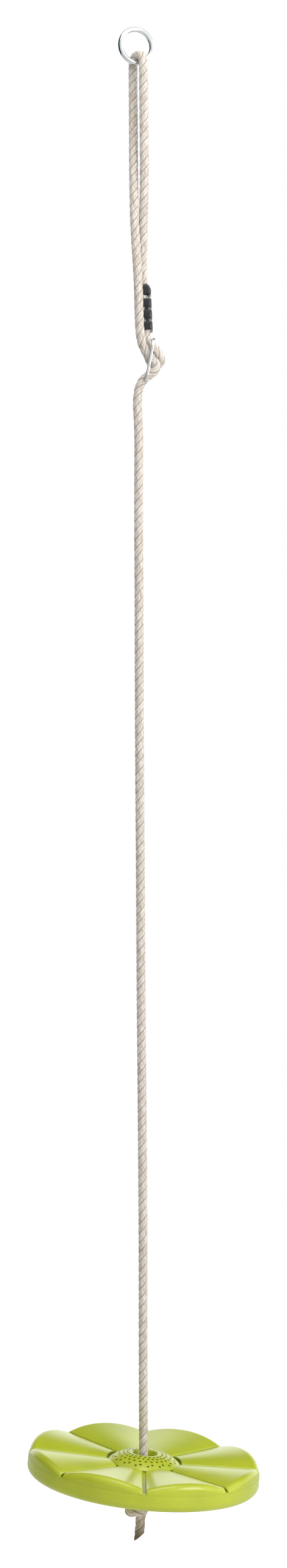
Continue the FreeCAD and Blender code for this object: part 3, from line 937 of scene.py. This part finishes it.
# ---- seat ----
@dataclass
class FlowerSeat:
    """Two moulded shells; the upper one has a dimpled hub."""

    material: bpy.types.Material
    axis_foot: tuple[float, float, float] = (2.75, 0.0, -1729.7)
    lean: float = 5.6
    dimple_radius: float = 1.65
    dimple_sunk: float = 0.5
    # radius, number and first angle of each ring of dimples
    rings: tuple = (
        (38.3, 16, 6.0), (36.4, 16, 14.5), (31.3, 28, 2.0), (26.0, 28, 8.4), (21.3, 24, 0.0),
    )
    above: float = 60.0          # height over the seat from which the hub is felt for
    rim_radius: float = 139.3
    rim_low: float = -0.1
    rim_height: float = 2.3
    skin: float = 0.01           # what is farther than this from the solid is a dimple
    merge: float = 0.001

    def placement(self) -> Matrix:
        """Turns the seat's own frame, in metres, to the world's."""
        lean = Euler((0.0, math.radians(self.lean), 0.0)).to_matrix().to_4x4()
        return Matrix.Translation(Vector(self.axis_foot) * MM) @ lean

    def dimple_places(self) -> list[tuple[float, float]]:
        """Lays the dimples out in staggered rings.

        Returns:
            Their x and y in the seat's frame, in millimetres.
        """
        places = []
        for radius, count, start in self.rings:
            for index in range(count):
                angle = math.radians(start + 360.0 * index / count)
                places.append((radius * math.cos(angle), radius * math.sin(angle)))
        return places

    def upper_shell(self) -> bpy.types.Object:
        """Copies the upper shell, merges it and sinks the hub's dimples into it.

        Returns:
            The dimpled shell.
        """
        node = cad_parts["seat_top"]
        shell = bpy.data.objects.new("petal_shell", node.data.copy())
        shell.data.materials.clear()
        bpy.context.scene.collection.objects.link(shell)
        shape = bmesh.new()
        shape.from_mesh(shell.data)
        bmesh.ops.remove_doubles(shape, verts=shape.verts, dist=self.merge * MM)
        shape.to_mesh(shell.data)
        shape.free()
        bpy.context.view_layer.update()
        place = self.placement()
        down = (place.to_3x3() @ Vector((0.0, 0.0, -1.0))).normalized()
        centres = []
        for x, y in self.dimple_places():
            start = place @ (Vector((x, y, self.above)) * MM)
            hit, point, normal, _ = shell.ray_cast(start, down)
            if hit:
                centres.append(point - normal * self.dimple_sunk * MM)
        carve(shell, self.cutter(centres), Carving.TAKE)
        bpy.ops.object.shade_smooth()
        self.moulded_normals(shell, centres)
        LOG.info("petal_shell with %d dimples", len(centres))
        return shell

    def moulded_normals(self, shell: bpy.types.Object, centres: list[Vector]) -> None:
        """Gives each corner the solid's own smooth normal, and a dimple's corners its ball's.

        Args:
            shell: Upper shell with its dimples.
            centres: Middles of the dimples' balls, in metres.
        """
        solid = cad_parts["seat_top"].data
        tree = BVHTree.FromPolygons(
            [vertex.co for vertex in solid.vertices],
            [tuple(face.vertices) for face in solid.polygons])
        balls = KDTree(len(centres))
        for index, centre in enumerate(centres):
            balls.insert(centre, index)
        balls.balance()
        normals = [Vector((0.0, 0.0, 1.0))] * len(shell.data.loops)
        for face in shell.data.polygons:
            _, _, index, gap = tree.find_nearest(face.center)
            radial = self.rim_normal(face.center)
            for corner in face.loop_indices:
                place = shell.data.vertices[shell.data.loops[corner].vertex_index].co
                if gap > self.skin * MM:
                    normals[corner] = (balls.find(place)[0] - place).normalized()
                elif radial:
                    normals[corner] = radial
                else:
                    normals[corner] = self.solid_normal(solid, index, place)
        shell.data.normals_split_custom_set(normals)

    def rim_normal(self, place: Vector) -> Vector | None:
        """Points straight outwards on the rim's low edge, so the small step on it doesn't show.

        Args:
            place: Middle of a face, in metres.

        Returns:
            The normal, or None away from that edge.
        """
        turn = self.placement()
        local = turn.inverted() @ place / MM
        inside = math.hypot(local.x, local.y) < self.rim_radius
        if inside or not self.rim_low < local.z < self.rim_height:
            return None
        return (turn.to_3x3() @ Vector((local.x, local.y, 0.0))).normalized()

    def solid_normal(self, solid: bpy.types.Mesh, index: int, place: Vector) -> Vector:
        """Reads the normal of one of the solid's triangles at a place on it.

        Args:
            solid: The solid's mesh.
            index: Number of the triangle.
            place: Point on it, in metres.

        Returns:
            The normal, blended from the triangle's corners.
        """
        face = solid.polygons[index]
        ends = [solid.vertices[corner].co for corner in face.vertices]
        sides = [solid.corner_normals[corner].vector for corner in face.loop_indices]
        blended = barycentric_transform(place, *ends, *sides)
        # on a sliver of a triangle the blend can't be trusted
        sound = 0.5 < blended.length < 1.5
        return blended.normalized() if sound else Vector(sides[0])

    def cutter(self, centres: list[Vector]) -> bpy.types.Object:
        """Joins one small ball for each dimple.

        Args:
            centres: Middles of the balls, in metres.

        Returns:
            The joined object.
        """
        deselect_all()
        bpy.ops.mesh.primitive_ico_sphere_add(subdivisions=2, radius=self.dimple_radius * MM)
        ball = bpy.context.active_object
        shape = bmesh.new()
        for centre in centres:
            copy = bmesh.new()
            copy.from_mesh(ball.data)
            bmesh.ops.translate(copy, verts=copy.verts, vec=centre)
            temporary = bpy.data.meshes.new("one_dimple")
            copy.to_mesh(temporary)
            copy.free()
            shape.from_mesh(temporary)
            bpy.data.meshes.remove(temporary)
        mesh = bpy.data.meshes.new("dimples")
        shape.to_mesh(mesh)
        shape.free()
        bpy.data.objects.remove(ball)
        joined = bpy.data.objects.new("dimples", mesh)
        bpy.context.scene.collection.objects.link(joined)
        return joined

    def build(self) -> None:
        """Makes the dimpled shell and dresses both shells."""
        shell = self.upper_shell()
        dress(shell, self.material)
        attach(shell, Body.SEAT.value)
        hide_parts("seat_top")
        dress(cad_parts["seat_base"], self.material)


# ---- studio ----
@dataclass
class Studio:
    """Pale floor, soft lamps and the camera."""

    eye: tuple[float, float, float] = (5.46, -3100.0, -907.9)
    roll: float = 0.223
    view_height: float = 1893.4
    sensor: float = 24.0
    floor_height: float = -2250.0
    floor_size: float = 9000.0
    floor_colour: str = "#F2F2F2"
    floor_lift: float = 0.5
    ambient: float = 0.58
    dim_colour: str = "#2E3C44"

    def camera(self) -> None:
        """Puts a level camera in front of the swing."""
        data = bpy.data.cameras.new("camera")
        data.sensor_fit = "VERTICAL"
        data.sensor_height = self.sensor
        data.lens = self.sensor * -self.eye[1] / self.view_height
        data.clip_end = 50.0
        item = bpy.data.objects.new("camera", data)
        item.location = Vector(self.eye) * MM
        upright = Quaternion((1.0, 0.0, 0.0), math.radians(90.0))
        item.rotation_mode = "QUATERNION"
        item.rotation_quaternion = upright @ Quaternion((0.0, 0.0, 1.0), -math.radians(self.roll))
        bpy.context.scene.collection.objects.link(item)
        bpy.context.scene.camera = item

    def background(self, tree: bpy.types.NodeTree) -> bpy.types.NodeSocket:
        """Tells the rays that see the background directly, in a mirror or through glass.

        Args:
            tree: The world's node tree.

        Returns:
            One for those rays and zero for the rest.
        """
        path = add_node(tree, "ShaderNodeLightPath")
        both = add_node(tree, "ShaderNodeMath", {"operation": "MAXIMUM"}, {
            0: path.outputs["Is Camera Ray"], 1: path.outputs["Is Glossy Ray"]})
        seen = add_node(tree, "ShaderNodeMath", {"operation": "MAXIMUM"}, {
            0: both.outputs[0], 1: path.outputs["Is Transmission Ray"]})
        return seen.outputs[0]

    def world(self) -> None:
        """Surrounds the swing with soft white light and a dim side that only mirrors show."""
        world = bpy.data.worlds.new("studio")
        world.use_nodes = True
        bpy.context.scene.world = world
        tree = world.node_tree
        surface = tree.nodes["Background"]
        path = add_node(tree, "ShaderNodeLightPath")
        plain = add_node(tree, "ShaderNodeMapRange", inputs={
            "Value": self.background(tree), "To Min": self.ambient, "To Max": 1.0})
        strength = add_node(tree, "ShaderNodeMix", {"data_type": "FLOAT"}, {
            "Factor": path.outputs["Is Glossy Ray"],
            2: plain.outputs["Result"], 3: self.mirrored_level(tree)})
        dim = add_node(tree, "ShaderNodeMath", {"operation": "MULTIPLY"}, {
            0: self.dim_side(tree), 1: path.outputs["Is Glossy Ray"]})
        colour = add_node(tree, "ShaderNodeMix", {"data_type": "RGBA"}, {
            "Factor": dim.outputs[0], 6: (1.0, 1.0, 1.0, 1.0), 7: linear(self.dim_colour)})
        tree.links.new(strength.outputs[0], surface.inputs["Strength"])
        tree.links.new(colour.outputs[2], surface.inputs["Color"])

    def towards(
        self, tree: bpy.types.NodeTree, axis: str, start: float, end: float
    ) -> bpy.types.NodeSocket:
        """Grows from 0 to 1 as the direction's share along an axis goes from start to end.

        Args:
            tree: The world's node tree.
            axis: X, Y or Z.
            start: Share where it is 0.
            end: Share where it is 1.

        Returns:
            The growing value.
        """
        direction = add_node(tree, "ShaderNodeTexCoord").outputs["Generated"]
        axes = add_node(tree, "ShaderNodeSeparateXYZ", inputs={"Vector": direction})
        grown = add_node(tree, "ShaderNodeMapRange", {"interpolation_type": "SMOOTHSTEP"}, {
            "Value": axes.outputs[axis], "From Min": start, "From Max": end})
        return grown.outputs["Result"]

    def dim_side(self, tree: bpy.types.NodeTree) -> bpy.types.NodeSocket:
        """Picks the left and high up at the back, which mirrors show dark.

        Args:
            tree: The world's node tree.

        Returns:
            One there and zero elsewhere.
        """
        high_back = add_node(tree, "ShaderNodeMath", {"operation": "MULTIPLY"}, {
            0: self.towards(tree, "Y", 0.25, 0.5), 1: self.towards(tree, "Z", 0.38, 0.55)})
        both = add_node(tree, "ShaderNodeMath", {"operation": "MAXIMUM"}, {
            0: self.towards(tree, "X", -0.45, -0.75), 1: high_back.outputs[0]})
        return both.outputs[0]

    def mirrored_level(self, tree: bpy.types.NodeTree) -> bpy.types.NodeSocket:
        """Sets the brightness that mirrors show: higher low down at the back and at the right.

        Args:
            tree: The world's node tree.

        Returns:
            The brightness.
        """
        back = add_node(tree, "ShaderNodeMath", {"operation": "MULTIPLY"}, {
            0: self.towards(tree, "Y", 0.3, 0.6), 1: self.towards(tree, "Z", 0.45, 0.25)})
        either = add_node(tree, "ShaderNodeMath", {"operation": "MAXIMUM"}, {
            0: back.outputs[0], 1: self.towards(tree, "X", 0.35, 0.75)})
        level = add_node(tree, "ShaderNodeMapRange", inputs={
            "Value": either.outputs[0], "To Min": 0.85, "To Max": 1.45})
        return level.outputs["Result"]

    def floor(self) -> None:
        """Lays a pale floor well under the seat, white to the camera where it is fully lit."""
        deselect_all()
        bpy.ops.mesh.primitive_plane_add(
            size=self.floor_size * MM, location=(0.0, 0.0, self.floor_height * MM))
        item = bpy.context.active_object
        item.name = "floor"
        material, tree, shader = new_material("pale_floor")
        shader.inputs["Base Color"].default_value = linear(self.floor_colour)
        shader.inputs["Roughness"].default_value = 0.9
        shader.inputs["Emission Color"].default_value = (1.0, 1.0, 1.0, 1.0)
        path = add_node(tree, "ShaderNodeLightPath")
        lift = add_node(tree, "ShaderNodeMath", {"operation": "MULTIPLY"}, {
            0: path.outputs["Is Camera Ray"], 1: self.floor_lift})
        tree.links.new(lift.outputs[0], shader.inputs["Emission Strength"])
        item.data.materials.append(material)

    def lamp(self, name: str, place: tuple, aim: tuple, size: float, power: float) -> None:
        """Adds one soft area lamp.

        Args:
            name: Name of the lamp.
            place: Its middle, in millimetres.
            aim: Point that it faces, in millimetres.
            size: Its side, in millimetres.
            power: Its power in watts.
        """
        data = bpy.data.lights.new(name, "AREA")
        data.size = size * MM
        data.energy = power
        item = bpy.data.objects.new(name, data)
        item.location = Vector(place) * MM
        item.rotation_euler = (Vector(aim) - Vector(place)).to_track_quat("-Z", "Y").to_euler()
        bpy.context.scene.collection.objects.link(item)

    def build(self) -> None:
        """Sets the stage."""
        scene = bpy.context.scene
        scene.view_settings.view_transform = "Standard"
        self.camera()
        self.world()
        self.floor()
        self.lamp("key_right", (2000, -1400, -500), (0, 0, -1200), 1400, 38.0)
        self.lamp("overhead", (150, -600, 800), (0, 0, -1700), 1250, 15.0)
        LOG.info("studio ready")


def main() -> None:
    """Builds the studio, the suspension and the seat."""
    logging.basicConfig(level=logging.INFO, format="%(name)s: %(message)s")
    Studio().build()
    rope_material = TwistedFibre().material()
    # painted light: the knot and its tail get a copy of the rope's finish with paler, warmer yarns
    # and darker grooves, matching how lit they look
    knot_fibre_painted_light = TwistedFibre(
        name="knot_fibre_with_painted_light", pale="#F6EEE4", middle="#E2D4C6", dull="#B8A592", painted_groove_shade="#8C7A68")
    knot = StopperKnot(knot_fibre_painted_light.material()).build()
    Suspension(rope_material).build(knot)
    FlowerSeat(MouldedPolyethylene().material()).build()


if __name__ == "__main__":
    main()
